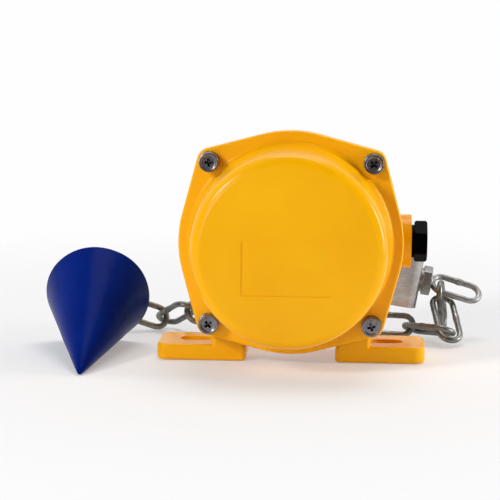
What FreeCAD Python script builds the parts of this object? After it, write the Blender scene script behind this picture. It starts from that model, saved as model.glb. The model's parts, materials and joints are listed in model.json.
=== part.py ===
import FreeCAD, Part
import math
import os

# Material flow switch: a cast two-foot housing with a round screwed cover, a cable entry on
# the right, and a swing shaft through the back wall.  A bent stainless arm on the shaft
# carries an eye bolt, a chain and a cone.  Lifting the arm turns two cams, and they raise the
# plungers of two snap switches.  Millimetres, +Z up, cover towards -Y.  The origin is midway
# between the foot slots, on the underside of the feet.

# Housing and cover
FLANGE_R = 57.0          # round part of the cover flange
AXIS_Z = FLANGE_R + 6.0  # height of the cover's axis
LOBE_R = 6.5             # rounding of the flange at each screw
LOBE_OUT = 1.34          # the screws stand this far outside the round part
SCREW_PITCH = (FLANGE_R + LOBE_OUT) * math.sqrt(2.0)
FLANGE_FRONT = -26.0     # front face of the cover flange
COVER_FLANGE_T = 6.0
GASKET_T = 1.5
BODY_FLANGE_T = 8.0
BODY_INSET = 1.5         # the body flange stands back from the cover's edge
DOME_R = FLANGE_R - 6.2
DOME_RISE = 34.0
DOME_DRAFT = 2.1
DOME_FILLET = 6.0
DOME_WALL = 3.6
FLANGE_ROUND = 1.2       # rounding of the cast flange edges
ROOT_ROUND = 2.0         # fillet where the dome meets its flange
SPOT_R = 8.5             # spot face round each cover screw
PANEL = (44.0, 26.7, 0.4)
PANEL_DROP = 7.6
PANEL_SHIFT = -0.8
CUP_R = FLANGE_R - 11.0
CUP_WALL = 4.5
BACK_OUT = 34.0          # outer face of the back wall
BACK_T = 5.0

# Feet
FOOT_IN = 23.0
FOOT_OUT = 69.0
FOOT_DEPTH = 34.0
FOOT_T = 8.4
FOOT_CORNER = 5.5        # outer corners, in plan
FOOT_INNER = 2.5         # inner corners and web edges
FOOT_EDGE = 1.5
SLOT_W = 10.0
SLOT_LEN = 18.0
SLOT_X = 49.0
WEB_OUT = 41.0
WEB_T = 7.0

# Cover screws
SCREW_R = 2.95
TAP_R = SCREW_R + 0.05
CLEAR_R = SCREW_R + 0.35
HEAD_R = 5.0
HEAD_T = 4.4
LOCK_T = 1.6
SCREW_REACH = 8.0        # thread below the gasket face

# Cable entry
ENTRY_Z = AXIS_Z - 2.0
ENTRY_Y = 2.0
ENTRY_BOSS_R = 13.8
ENTRY_FACE = CUP_R + 15.2
ENTRY_TAP_R = 8.0
ENTRY_SHOULDER = CUP_R + 2.0
CABLE_R = 4.8
COLLAR_R = 8.5
COLLAR_T = 1.6
GLAND_AF = 18.6
GLAND_HEX_T = 6.6

# Shaft and arm
SHAFT_Z = 42.5           # the chain lies on the floor, so this height stays
SHAFT_R = 6.0
SHAFT_FRONT = -15.0
BOSS_R = 14.0
BOSS_OUT = BACK_OUT + 5.0
BOSS_IN = BACK_OUT - 14.5
BUSH_T = 2.0
BUSH_FLANGE_R = SHAFT_R + 4.5
BUSH_FLANGE_T = 1.0
RUN = 0.05               # running clearance on radius
FIT = 0.02               # assembly clearance on radius
THRUST_T = 0.8
ARM_T = 3.0
ARM_W = 28.0
ARM_REACH = 68.5         # shaft axis to the outer face of the end flange
ARM_BACK = BOSS_OUT + 34.0
ARM_BEND = 5.0
ARM_DROOP = 9.0
NECK_R = 5.0             # threaded end of the shaft
NECK_FLAT = 4.0
NUT_AF = 16.0
NUT_T = 8.0
WASHER_T = 1.6

# Eye bolt
EYE_Y = BOSS_OUT + 18.0
EYE_R = 3.95
EYE_AF = 14.0
EYE_HEAD_T = 4.8
EYE_HEAD_TURN = 14.0     # its top corner leans back
EYE_SINK = 1.0           # depth of the loop in the head's weld
EYE_NUT_T = 6.5
EYE_LOCK_T = 2.0
EYE_SAG = 7.6            # the eye leans down from the bolt's line
EYE_ROLL = 37.0

# Switches and cams
TRAVEL = 15.0            # swing of the arm in degrees
LIFT = 1.0               # plunger travel over that swing
CAM_R = SHAFT_R + 5.0
CAM_T = 5.0
SWITCH = (27.8, 10.3, 15.9)
SWITCH_GAP = 0.4
SWITCH_LEFT = 9.9        # plunger to the left end of the switch
SWITCH_Z = SHAFT_Z + CAM_R + 3.5
REAR_CAM_Y = 2.0
PLUNGER_R = 1.6
PLUNGER_LEN = 7.4
TIP_GAP = 0.25
PLATE_T = 2.0
STOP_R = SHAFT_R + 11.0
STOP_PIN_R = 2.0
FINGER_W = 5.0
STOP_GAP = 0.15

# Chain: wire, inside length and outside width of a link, and the play between two links
WIRE = 3.5
PITCH = 8.0 * WIRE
LINK_W = 4.0 * WIRE + 0.8
PLAY = 0.2 * WIRE
EYE_LEN = 7.5 * WIRE + 0.25    # between the end wires of the bolt's eye
HANG = -2.2 * WIRE       # first link's place along the eye, from its middle
FIRST_SLACK = 0.11 * WIRE
SECOND_UP = 5.7 * WIRE   # the second link has slid up inside the first
SECOND_SLACK = -0.43 * WIRE
THIRD_UP = 0.43 * WIRE   # the third is round a side bar of the second
THIRD_SLACK = 1.14 * WIRE
# heading, rise and roll of each link in degrees, chosen by eye from the photo
LINKS = [
    (80, -54, 89),
    (282, -37, -4),
    (136, -5, 25),
    (165, 0, -55),
    (136, -3, 35),
    (180, -3, -50),
    (226, 5, 40),
    (192, 16, -60),
    (124, -24, 25),
    (195, 20, -65),
]
LAST_HEADING = 262       # the last link climbs to the cone's eye
LAST_ROLL = 25

# Cone, lying on its side
CONE_R = 27.8
CONE_H = 90.5
CONE_WALL = 1.5
CONE_TURN = 91.2
CONE_TIP_CUT = 4.0
BASE_T = 3.0
CONE_EYE_W = 1.5 * WIRE + 1.0  # half width of the welded eye
CONE_EYE_OUT = 3.15 * WIRE     # its end wire from the base plane
CONE_REST = 0.1          # lift over the ground

V = FreeCAD.Vector
X = V(1, 0, 0)
Y = V(0, 1, 0)
Z = V(0, 0, 1)


def cyl(r, start, way, length):
    return Part.makeCylinder(r, length, start, way)


def ring(r_out, r_in, start, way, length):
    over = start - way * 1.0
    return cyl(r_out, start, way, length).cut(cyl(r_in, over, way, length + 2.0))


def box(x0, x1, y0, y1, z0, z1):
    return Part.makeBox(x1 - x0, y1 - y0, z1 - z0, V(x0, y0, z0))


def fuse(first, *others):
    return first.multiFuse(list(others)).removeSplitter()


def hexagon(af, start, way, side, length):
    # hexagonal prism along `way`, one corner towards `side`
    across = way.cross(side)
    r = af / math.sqrt(3.0)
    points = []
    for k in range(7):
        t = math.radians(60 * k)
        points.append(start + side * (r * math.cos(t)) + across * (r * math.sin(t)))
    return Part.Face(Part.makePolygon(points)).extrude(way * length)


def hex_nut(af, hole_r, start, way, side, length):
    body = hexagon(af, start, way, side, length)
    r = af / math.sqrt(3.0)
    cap = (r - af / 2.0) * 0.6
    round_off = Part.makeCone(r + length, r - cap, length + cap, start - way * cap, way)
    round_off = round_off.common(Part.makeCone(r - cap, r + length, length + cap, start, way))
    body = body.common(round_off)
    if hole_r:
        body = body.cut(cyl(hole_r, start - way, way, length + 2.0))
    return body


def edges_at(shape, test):
    return [e for e in shape.Edges if test(e)]


def save(name, *shapes):
    os.makedirs("parts", exist_ok=True)
    shape = shapes[0] if len(shapes) == 1 else Part.makeCompound(list(shapes))
    shape.exportStep("parts/%s.step" % name)


def polar(r, degrees, y):
    t = math.radians(degrees)
    return V(r * math.cos(t), y, AXIS_Z + r * math.sin(t))


def flange(r_round, r_lobe, y0, thick):
    # hull of a circle and the four lobes round the screws
    far = SCREW_PITCH / math.sqrt(2.0)
    spread = math.degrees(math.acos((r_round - r_lobe) / far))
    edges = []
    for k in range(4):
        mid = 45 + 90 * k
        centre = polar(far, mid, y0) - V(0, 0, AXIS_Z)
        lobe = [polar(r_lobe, mid + t, y0) + V(centre.x, 0, centre.z) for t in (-spread, 0, spread)]
        before = [polar(r_round, t, y0) for t in (mid - 90 + spread, mid - 45, mid - spread)]
        after = polar(r_round, mid + spread, y0)
        edges.append(Part.Arc(before[0], before[1], before[2]).toShape())
        edges.append(Part.LineSegment(before[2], lobe[0]).toShape())
        edges.append(Part.Arc(lobe[0], lobe[1], lobe[2]).toShape())
        edges.append(Part.LineSegment(lobe[2], after).toShape())
    return Part.Face(Part.Wire(edges)).extrude(Y * thick)


def spin(profile):
    # profile: (radius, y) points; three points in a list make an arc
    edges = []
    last = None
    for item in profile:
        if isinstance(item, list):
            a, b, c = [V(r, y, AXIS_Z) for r, y in item]
            if last is not None and last.distanceToPoint(a) > 1e-6:
                edges.append(Part.LineSegment(last, a).toShape())
            edges.append(Part.Arc(a, b, c).toShape())
            last = c
        else:
            p = V(item[0], item[1], AXIS_Z)
            if last is not None and last.distanceToPoint(p) > 1e-6:
                edges.append(Part.LineSegment(last, p).toShape())
            last = p
    face = Part.Face(Part.Wire(edges))
    return face.revolve(V(0, 0, AXIS_Z), Y, 360)


SCREWS = []
for sx in (-1, 1):
    for sz in (-1, 1):
        SCREWS.append((sx * SCREW_PITCH / 2.0, AXIS_Z + sz * SCREW_PITCH / 2.0))

COVER_BACK = FLANGE_FRONT + COVER_FLANGE_T
BODY_FRONT = COVER_BACK + GASKET_T
BODY_FLANGE_BACK = BODY_FRONT + BODY_FLANGE_T
CUP_IN = CUP_R - CUP_WALL
BACK_IN = BACK_OUT - BACK_T
FOOT_FRONT = -FOOT_DEPTH / 2.0
FOOT_BACK = FOOT_DEPTH / 2.0

# Cover: flange, drafted dome with a rounded front edge, hollow inside
FACE_Y = FLANGE_FRONT - DOME_RISE
TOP_R = DOME_R - DOME_DRAFT
SHORT = 1.0 - math.sqrt(0.5)
dome = spin([
    (0.0, COVER_BACK),
    (DOME_R, COVER_BACK),
    (DOME_R, FLANGE_FRONT),
    [(TOP_R, FACE_Y + DOME_FILLET),
     (TOP_R - DOME_FILLET * SHORT, FACE_Y + DOME_FILLET * SHORT),
     (TOP_R - DOME_FILLET, FACE_Y)],
    (0.0, FACE_Y),
    (0.0, COVER_BACK),
])
hollow = spin([
    (0.0, COVER_BACK + 1.0),
    (DOME_R - DOME_WALL, COVER_BACK + 1.0),
    (DOME_R - DOME_WALL, FLANGE_FRONT),
    (TOP_R - DOME_WALL, FACE_Y + DOME_FILLET),
    (TOP_R - DOME_FILLET, FACE_Y + DOME_WALL),
    (0.0, FACE_Y + DOME_WALL),
    (0.0, COVER_BACK + 1.0),
])
def off_axis(e):
    # how far an edge's middle lies from the cover axis
    mid = e.valueAt((e.FirstParameter + e.LastParameter) / 2.0)
    return math.hypot(mid.x, mid.z - AXIS_Z)


def rim_edges(shape, y):
    return edges_at(shape, lambda e: e.BoundBox.YLength < 0.01 and abs(e.BoundBox.YMin - y) < 0.01)


rim = flange(FLANGE_R, LOBE_R, FLANGE_FRONT, COVER_FLANGE_T)
rim = rim.makeFillet(FLANGE_ROUND, rim_edges(rim, FLANGE_FRONT))
rim = rim.makeFillet(FLANGE_ROUND / 2.0, rim_edges(rim, COVER_BACK))
cover = fuse(rim, dome)
root = [e for e in rim_edges(cover, FLANGE_FRONT) if abs(off_axis(e) - DOME_R) < 0.01]
cover = cover.makeFillet(ROOT_ROUND, root).cut(hollow)
for x, z in SCREWS:
    cover = cover.cut(cyl(SPOT_R, V(x, FACE_Y - 1.0, z), Y, FLANGE_FRONT - FACE_Y + 1.0))
    cover = cover.cut(cyl(CLEAR_R, V(x, FACE_Y, z), Y, DOME_RISE + COVER_FLANGE_T + 1.0))
panel = box(PANEL_SHIFT - PANEL[0] / 2.0, PANEL_SHIFT + PANEL[0] / 2.0,
            FACE_Y - 1.0, FACE_Y + PANEL[2],
            AXIS_Z - PANEL_DROP - PANEL[1] / 2.0, AXIS_Z - PANEL_DROP + PANEL[1] / 2.0)
panel = panel.makeFillet(3.0, edges_at(panel, lambda e: abs(e.tangentAt(e.FirstParameter).y) > 0.9))
cover = cover.cut(panel)
save("cover", cover)

# Gasket between the flanges
gasket = flange(FLANGE_R - 0.8, LOBE_R - 0.8, COVER_BACK, GASKET_T)
gasket = gasket.cut(cyl(DOME_R - DOME_WALL, V(0, COVER_BACK - 1.0, AXIS_Z), Y, GASKET_T + 2.0))
for x, z in SCREWS:
    gasket = gasket.cut(cyl(CLEAR_R, V(x, COVER_BACK - 1.0, z), Y, GASKET_T + 2.0))
save("cover_gasket", gasket)

# Cover screws with spring washers
screws = []
locks = []
head_y = FLANGE_FRONT - LOCK_T
for x, z in SCREWS:
    head = cyl(HEAD_R, V(x, head_y - HEAD_T, z), Y, HEAD_T)
    head = head.makeFillet(0.9, edges_at(head, lambda e: e.BoundBox.YMax < head_y - HEAD_T + 0.01))
    shank = cyl(SCREW_R, V(x, head_y, z), Y, BODY_FRONT + SCREW_REACH - head_y)
    screw = fuse(head, shank)
    screw = screw.cut(box(x - 3.0, x + 3.0, head_y - HEAD_T - 1.0, head_y - HEAD_T + 2.2, z - 0.8, z + 0.8))
    screw = screw.cut(box(x - 0.8, x + 0.8, head_y - HEAD_T - 1.0, head_y - HEAD_T + 2.2, z - 3.0, z + 3.0))
    screws.append(screw)
    lock = ring(HEAD_R + 0.2, TAP_R + 0.2, V(x, head_y, z), Y, LOCK_T)
    lock = lock.cut(box(x - 0.5, x + 0.5, head_y - 1.0, FLANGE_FRONT + 1.0, z, z + HEAD_R + 1.0))
    locks.append(lock)
save("cover_screws", *screws)
save("cover_spring_washers", *locks)

# Housing: cup with a flange, bosses, webs and two slotted feet
cup = cyl(CUP_R, V(0, BODY_FRONT, AXIS_Z), Y, BACK_OUT - BODY_FRONT)
cup = cup.makeFillet(4.0, edges_at(cup, lambda e: e.BoundBox.YMin > BACK_OUT - 0.01))
rim = flange(FLANGE_R - BODY_INSET, LOBE_R - BODY_INSET + 0.2, BODY_FRONT, BODY_FLANGE_T)
rim = rim.makeFillet(FLANGE_ROUND, rim_edges(rim, BODY_FLANGE_BACK))
rim = rim.makeFillet(FLANGE_ROUND / 2.0, rim_edges(rim, BODY_FRONT))
solids = [rim]
tap_depth = SCREW_REACH + 1.5
boss_len = tap_depth + 2.5
for x, z in SCREWS:
    solids.append(cyl(LOBE_R - BODY_INSET, V(x, BODY_FRONT, z), Y, boss_len))
    rib = box(-LOBE_R + BODY_INSET, LOBE_R - BODY_INSET, BODY_FRONT, BODY_FRONT + boss_len,
              CUP_R - 3.0, SCREW_PITCH / math.sqrt(2.0))
    rib.rotate(V(0, 0, 0), Y, math.degrees(math.atan2(x, z - AXIS_Z)))
    rib.translate(V(0, 0, AXIS_Z))
    solids.append(rib)
for s in (-1, 1):
    x0, x1 = sorted((s * FOOT_IN, s * FOOT_OUT))
    foot = box(x0, x1, FOOT_FRONT, FOOT_BACK, 0.0, FOOT_T)
    foot = foot.makeFillet(FOOT_CORNER, edges_at(foot, lambda e: e.BoundBox.ZLength > 1.0
                                                 and abs(e.BoundBox.Center.x) > FOOT_IN + 1.0))
    foot = foot.makeFillet(FOOT_INNER, edges_at(foot, lambda e: e.BoundBox.ZLength > 1.0
                                                and abs(e.BoundBox.Center.x) < FOOT_IN + 1.0))
    foot = foot.makeFillet(FOOT_EDGE, edges_at(foot, lambda e: e.BoundBox.ZLength < 0.01))
    solids.append(foot)
    w0, w1 = sorted((s * (FOOT_IN + 0.5), s * WEB_OUT))
    web_top = AXIS_Z - math.sqrt(CUP_R ** 2 - WEB_OUT ** 2) + 2.0
    for y0 in (FOOT_FRONT, FOOT_BACK - WEB_T):
        web = box(w0, w1, y0, y0 + WEB_T, FOOT_T / 2.0, web_top)
        solids.append(web.makeFillet(FOOT_INNER, edges_at(web, lambda e: e.BoundBox.ZLength > 1.0)))
solids.append(cyl(BOSS_R, V(0, BACK_IN, SHAFT_Z), Y, BOSS_OUT - BACK_IN))
solids.append(cyl(ENTRY_BOSS_R, V(CUP_IN - 4.0, ENTRY_Y, ENTRY_Z), X, ENTRY_FACE - CUP_IN + 4.0))
housing = fuse(cup, *solids)
housing = housing.cut(cyl(CUP_IN, V(0, BODY_FRONT - 1.0, AXIS_Z), Y, BACK_IN - BODY_FRONT + 1.0))
pillars = [(-14.0, SWITCH_Z + 22.5), (22.0, SWITCH_Z + 22.5)]
SWITCH_BACK = REAR_CAM_Y + SWITCH[1] / 2.0
PLATE_BACK = SWITCH_BACK + PLATE_T
inner = [cyl(BOSS_R - 1.0, V(0, BOSS_IN, SHAFT_Z), Y, BACK_IN - BOSS_IN + 1.0)]
for x, z in pillars:
    inner.append(cyl(4.0, V(x, PLATE_BACK, z), Y, BACK_IN - PLATE_BACK + 1.0))
housing = fuse(housing, *inner)
housing = housing.cut(cyl(SHAFT_R + RUN + BUSH_T, V(0, BOSS_IN - 1.0, SHAFT_Z), Y, BOSS_OUT - BOSS_IN + 2.0))
for x, z in SCREWS:
    housing = housing.cut(cyl(TAP_R, V(x, BODY_FRONT - 1.0, z), Y, tap_depth + 1.0))
for x, z in pillars:
    housing = housing.cut(cyl(2.0, V(x, PLATE_BACK - 1.0, z), Y, 13.0))
for s in (-1, 1):
    half = (SLOT_LEN - SLOT_W) / 2.0
    slot = fuse(box(s * SLOT_X - half, s * SLOT_X + half, -SLOT_W / 2.0, SLOT_W / 2.0, -1.0, FOOT_T + 1.0),
                cyl(SLOT_W / 2.0, V(s * SLOT_X - half, 0, -1.0), Z, FOOT_T + 2.0),
                cyl(SLOT_W / 2.0, V(s * SLOT_X + half, 0, -1.0), Z, FOOT_T + 2.0))
    housing = housing.cut(slot)
entry = V(0, ENTRY_Y, ENTRY_Z)
housing = housing.cut(cyl(ENTRY_TAP_R, entry + X * ENTRY_SHOULDER, X, ENTRY_FACE - ENTRY_SHOULDER + 1.0))
housing = housing.cut(cyl(CABLE_R + 0.4, entry + X * (CUP_IN - 6.0), X, ENTRY_SHOULDER - CUP_IN + 7.0))


def swing(r, degrees):
    # point at radius r from the shaft, `degrees` from straight down towards +X
    t = math.radians(degrees)
    return V(r * math.sin(t), 0, SHAFT_Z - r * math.cos(t))


# Stop pins either side of the collar's finger, and the post of the spring's fixed leg
COLLAR_FRONT = 12.0
COLLAR_BACK = BOSS_IN - BUSH_FLANGE_T - 0.3
lean = math.degrees(math.asin((FINGER_W / 2.0 + STOP_PIN_R + STOP_GAP) / STOP_R))
stops = [swing(STOP_R, -lean), swing(STOP_R, TRAVEL + lean)]
pins = []
for p in stops:
    start = p + Y * (COLLAR_FRONT - 1.0)
    length = BACK_IN + 3.0 - start.y
    pins.append(cyl(STOP_PIN_R, start, Y, length))
    housing = housing.cut(cyl(STOP_PIN_R + FIT, start, Y, length))
save("stop_pins", *pins)
COIL_WIRE = 0.7
COIL_R = SHAFT_R + 2.5
COIL_FRONT = REAR_CAM_Y + CAM_T / 2.0 + 1.2
COIL_PITCH = 1.6
COIL_TURNS = 3.0
POST_R = 2.0
LEG = 13.5
post = V(-LEG, COIL_FRONT - 3.0, SHAFT_Z - COIL_R + COIL_WIRE + POST_R + 0.1)
post_len = BACK_IN + 3.0 - post.y
save("spring_post", cyl(POST_R, post, Y, post_len))
housing = housing.cut(cyl(POST_R + FIT, post, Y, post_len))

# Earth screw in a small boss of the back wall
EARTH = V(27.0, BACK_IN, SHAFT_Z + 5.5)
housing = fuse(housing, cyl(5.0, EARTH - Y * 4.0, Y, 4.5))
housing = housing.cut(cyl(2.0, EARTH - Y * 5.0, Y, 8.0))
earth = fuse(cyl(4.2, EARTH - Y * 5.0, Y, 1.0), cyl(3.5, EARTH - Y * 7.6, Y, 2.6),
             cyl(2.0 - FIT, EARTH - Y * 5.0, Y, 7.0))
earth = earth.cut(box(EARTH.x - 4.0, EARTH.x + 4.0, BACK_IN - 8.0, BACK_IN - 6.4,
                      EARTH.z - 0.5, EARTH.z + 0.5))
save("earth_screw", earth)

# Terminal block on the back wall, with wire clamps in a row
BLOCK = (36.0, 15.0, 12.0)
BLOCK_Z = SWITCH_Z + 29.0
block_y = BACK_IN - BLOCK[1]
block = box(-BLOCK[0] / 2.0, BLOCK[0] / 2.0, block_y, BACK_IN, BLOCK_Z, BLOCK_Z + BLOCK[2])
clamps = []
for k in range(4):
    x = -10.5 + 7.0 * k
    z = BLOCK_Z + 3.6
    block = block.cut(cyl(2.2, V(x, block_y - 1.0, z), Y, 9.0))
    clamp = cyl(2.2 - FIT, V(x, block_y + 1.0, z), Y, 2.0)
    clamp = fuse(clamp, cyl(1.4, V(x, block_y + 2.5, z), Y, 5.0))
    clamps.append(clamp.cut(box(x - 3.0, x + 3.0, block_y, block_y + 1.8, z - 0.4, z + 0.4)))
    block = block.cut(cyl(1.6, V(x, block_y - 1.0, BLOCK_Z + BLOCK[2] - 3.2), Y, 8.0))
save("terminal_screws", *clamps)
fixings = []
for s in (-1, 1):
    p = V(s * (BLOCK[0] / 2.0 - 3.0), block_y, BLOCK_Z + 6.0)
    block = block.cut(cyl(1.65, p - Y, Y, BLOCK[1] + 2.0))
    block = block.cut(cyl(2.8, p - Y, Y, 4.0))
    housing = housing.cut(cyl(1.5, p + Y * (BLOCK[1] - 1.0), Y, 4.5))
    fixings.append(fuse(cyl(2.7, p + Y * 0.6, Y, 2.4), cyl(1.5 - FIT, p + Y * 3.0, Y, BLOCK[1])))
save("terminal_block", block)
save("block_screws", *fixings)

save("housing", housing)

# Cable entry: seal, pressure washer and the black compression screw
seal_end = ENTRY_SHOULDER + 5.6
seal_len = seal_end - ENTRY_SHOULDER
save("gland_seal", ring(ENTRY_TAP_R - 0.1, CABLE_R + 0.1, entry + X * ENTRY_SHOULDER, X, seal_len))
save("gland_washer", ring(ENTRY_TAP_R - 0.2, CABLE_R + 0.2, entry + X * seal_end, X, 1.2))
thread = seal_end + 1.2
hex_x = ENTRY_FACE + COLLAR_T
nut = fuse(cyl(ENTRY_TAP_R - 0.05, entry + X * thread, X, ENTRY_FACE - thread),
           cyl(COLLAR_R, entry + X * ENTRY_FACE, X, COLLAR_T),
           hex_nut(GLAND_AF, 0, entry + X * hex_x, X, Z, GLAND_HEX_T))
nut = nut.cut(cyl(CABLE_R, entry + X * (thread - 1.0), X, hex_x + GLAND_HEX_T - thread + 2.0))
save("gland_nut", nut)

# Shaft bushes and seal in the boss
bore = SHAFT_R + RUN
bush_out = bore + BUSH_T - FIT
shaft_at = V(0, 0, SHAFT_Z)
SEAL_Y = 27.0
SEAL_T = 3.5
rear_start = SEAL_Y + SEAL_T
save("bush_front", fuse(ring(bush_out, bore, shaft_at + Y * BOSS_IN, Y, SEAL_Y - BOSS_IN),
                        ring(BUSH_FLANGE_R, bore, shaft_at + Y * (BOSS_IN - BUSH_FLANGE_T), Y, BUSH_FLANGE_T)))
save("bush_rear", fuse(ring(bush_out, bore, shaft_at + Y * rear_start, Y, BOSS_OUT - rear_start),
                       ring(BUSH_FLANGE_R, bore, shaft_at + Y * BOSS_OUT, Y, BUSH_FLANGE_T)))
save("shaft_seal", ring(bush_out, bore, shaft_at + Y * SEAL_Y, Y, SEAL_T))

# Shaft with a shoulder, a flatted neck for the arm and a groove for the clip
ARM_Y = BOSS_OUT + BUSH_FLANGE_T + THRUST_T + 0.1
washer_y = ARM_Y + ARM_T
nut_y = washer_y + WASHER_T
shaft_end = nut_y + NUT_T + 2.0
CLIP_Y = SHAFT_FRONT + 1.6


def on_arm(shape):
    # arm pieces are drawn level about the shaft axis, then dropped to the rest angle
    shape = shape.copy()
    shape.rotate(V(0, 0, 0), Y, ARM_DROOP)
    shape.translate(V(0, 0, SHAFT_Z))
    return shape


shaft = cyl(SHAFT_R, V(0, SHAFT_FRONT, 0), Y, ARM_Y - SHAFT_FRONT)
shaft = shaft.makeFillet(0.8, edges_at(shaft, lambda e: e.BoundBox.YMax < SHAFT_FRONT + 0.01))
neck = cyl(NECK_R, V(0, ARM_Y, 0), Y, shaft_end - ARM_Y)
neck = neck.makeFillet(0.9, edges_at(neck, lambda e: e.BoundBox.YMin > shaft_end - 0.01))
flatted = neck.common(box(-20, 20, ARM_Y - 1.0, washer_y, -NECK_FLAT, NECK_FLAT))
threaded = neck.common(box(-20, 20, washer_y, shaft_end + 1.0, -20, 20))
shaft = fuse(shaft, flatted, threaded)
shaft = shaft.cut(ring(SHAFT_R + 1.0, SHAFT_R - 0.6, V(0, CLIP_Y, 0), Y, 1.1))
save("shaft", on_arm(shaft))
clip = ring(SHAFT_R + 2.0, SHAFT_R - 0.58, V(0, CLIP_Y + 0.05, 0), Y, 1.0)
clip = clip.cut(box(-2.0, 2.0, CLIP_Y - 1.0, CLIP_Y + 2.0, -20.0, 0.0))
save("shaft_clip", on_arm(clip))
thrust_at = V(0, BOSS_OUT + BUSH_FLANGE_T + 0.1, 0)
save("thrust_washer", on_arm(ring(BUSH_FLANGE_R, SHAFT_R + FIT, thrust_at, Y, THRUST_T)))
save("arm_washer", on_arm(ring(10.5, NECK_R + 0.2, V(0, washer_y, 0), Y, WASHER_T)))
save("arm_nut", on_arm(hex_nut(NUT_AF, NECK_R + FIT, V(0, nut_y, 0), Y, X, NUT_T)))

# Arm: flat strip with a round hub end, bent back at the far end
half = ARM_W / 2.0
inside = ARM_BEND - ARM_T
far_y = ARM_BACK
c = V(ARM_REACH - ARM_BEND, ARM_Y + ARM_BEND, -half)
q = math.sqrt(0.5)
corner = [V(-half, ARM_Y, -half), V(c.x, ARM_Y, -half), V(ARM_REACH, c.y, -half), V(ARM_REACH, far_y, -half),
          V(ARM_REACH - ARM_T, far_y, -half), V(ARM_REACH - ARM_T, c.y, -half), V(c.x, ARM_Y + ARM_T, -half),
          V(-half, ARM_Y + ARM_T, -half)]
strip = Part.Wire([
    Part.LineSegment(corner[0], corner[1]).toShape(),
    Part.Arc(corner[1], c + V(ARM_BEND * q, -ARM_BEND * q, 0), corner[2]).toShape(),
    Part.LineSegment(corner[2], corner[3]).toShape(),
    Part.LineSegment(corner[3], corner[4]).toShape(),
    Part.LineSegment(corner[4], corner[5]).toShape(),
    Part.Arc(corner[5], c + V(inside * q, -inside * q, 0), corner[6]).toShape(),
    Part.LineSegment(corner[6], corner[7]).toShape(),
    Part.LineSegment(corner[7], corner[0]).toShape(),
])
arm = Part.Face(strip).extrude(Z * ARM_W)
trim = fuse(box(0, ARM_REACH + 1.0, ARM_Y - 1.0, far_y + 1.0, -half, half),
            cyl(half, V(0, ARM_Y - 1.0, 0), Y, far_y - ARM_Y + 2.0))
arm = arm.common(trim)
arm = arm.makeFillet(3.0, edges_at(arm, lambda e: e.BoundBox.YMin > far_y - 0.01
                                   and e.BoundBox.ZLength < 0.01))
arm = arm.cut(cyl(NECK_R + FIT, V(0, ARM_Y - 1.0, 0), Y, ARM_T + 2.0).common(
    box(-20, 20, ARM_Y - 2.0, ARM_Y + ARM_T + 2.0, -NECK_FLAT - FIT, NECK_FLAT + FIT)))
arm = arm.cut(cyl(EYE_R + 0.3, V(ARM_REACH - ARM_T - 1.0, EYE_Y, 0), X, ARM_T + 2.0))
save("arm", on_arm(arm))

# Chain geometry: a link is two straight bars and two half rings of wire
HALF_W = (LINK_W - WIRE) / 2.0
HALF_L = (PITCH + WIRE) / 2.0
CROSS = (WIRE + PLAY) / 2.0


def frame(heading, rise, roll):
    h, r, t = [math.radians(v) for v in (heading, rise, roll)]
    along = V(math.cos(h) * math.cos(r), math.sin(h) * math.cos(r), math.sin(r))
    level = V(-math.sin(h), math.cos(h), 0)
    wide = level * math.cos(t) + along.cross(level) * math.sin(t)
    return along, wide


def loop(half_l, half_w, wire):
    run = half_l - half_w
    parts = []
    for s in (-1, 1):
        end = Part.makeTorus(half_w, wire / 2.0, V(0, 0, 0), Z, 0, 360, 180)
        end.rotate(V(0, 0, 0), Z, -90 * s)
        end.translate(V(s * run, 0, 0))
        parts.append(end)
        parts.append(cyl(wire / 2.0, V(-run, s * half_w, 0), X, 2 * run))
    return fuse(parts[0], *parts[1:])


def place(shape, centre, along, wide):
    n = along.cross(wide)
    m = FreeCAD.Matrix(along.x, wide.x, n.x, centre.x, along.y, wide.y, n.y, centre.y,
                       along.z, wide.z, n.z, centre.z, 0, 0, 0, 1)
    shape = shape.copy()
    shape.Placement = FreeCAD.Placement(m)
    return shape


# Eye bolt: hexagon head outside the arm, welded eye, shank and nut inside
head_u = ARM_REACH + WASHER_T
eye_u = head_u + EYE_HEAD_T
lock_u = ARM_REACH - ARM_T - EYE_LOCK_T
nut_u = lock_u - EYE_NUT_T
bolt_end = nut_u - 2.5
eye_line = V(0, EYE_Y, 0)
lean_back = math.radians(EYE_HEAD_TURN)
corner_way = V(0, math.sin(lean_back), math.cos(lean_back))
bolt = fuse(cyl(EYE_R, eye_line + X * bolt_end, X, head_u - bolt_end),
            hexagon(EYE_AF, eye_line + X * head_u, X, corner_way, EYE_HEAD_T))
bolt = on_arm(bolt)
eye_a, eye_w = frame(0, -ARM_DROOP - EYE_SAG, EYE_ROLL)
t = math.radians(ARM_DROOP)
eye_c = V(eye_u * math.cos(t), EYE_Y, SHAFT_Z - eye_u * math.sin(t))
eye_c = eye_c + eye_a * (EYE_LEN / 2.0 + WIRE / 2.0 - EYE_SINK)
eye = place(loop(EYE_LEN / 2.0, HALF_W, WIRE), eye_c, eye_a, eye_w)
save("eye_bolt", fuse(bolt, eye))
save("eye_washer", on_arm(ring(6.5, EYE_R + 0.25, eye_line + X * ARM_REACH, X, WASHER_T)))
lock = ring(6.6, EYE_R + 0.25, eye_line + X * lock_u, X, EYE_LOCK_T)
save("eye_spring_washer", on_arm(lock.cut(box(lock_u - 1.0, lock_u + 4.0, EYE_Y - 0.5, EYE_Y + 0.5, 0, 20))))
save("eye_nut", on_arm(hex_nut(EYE_AF, EYE_R + FIT, eye_line + X * nut_u, X, Y, EYE_NUT_T)))

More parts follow.
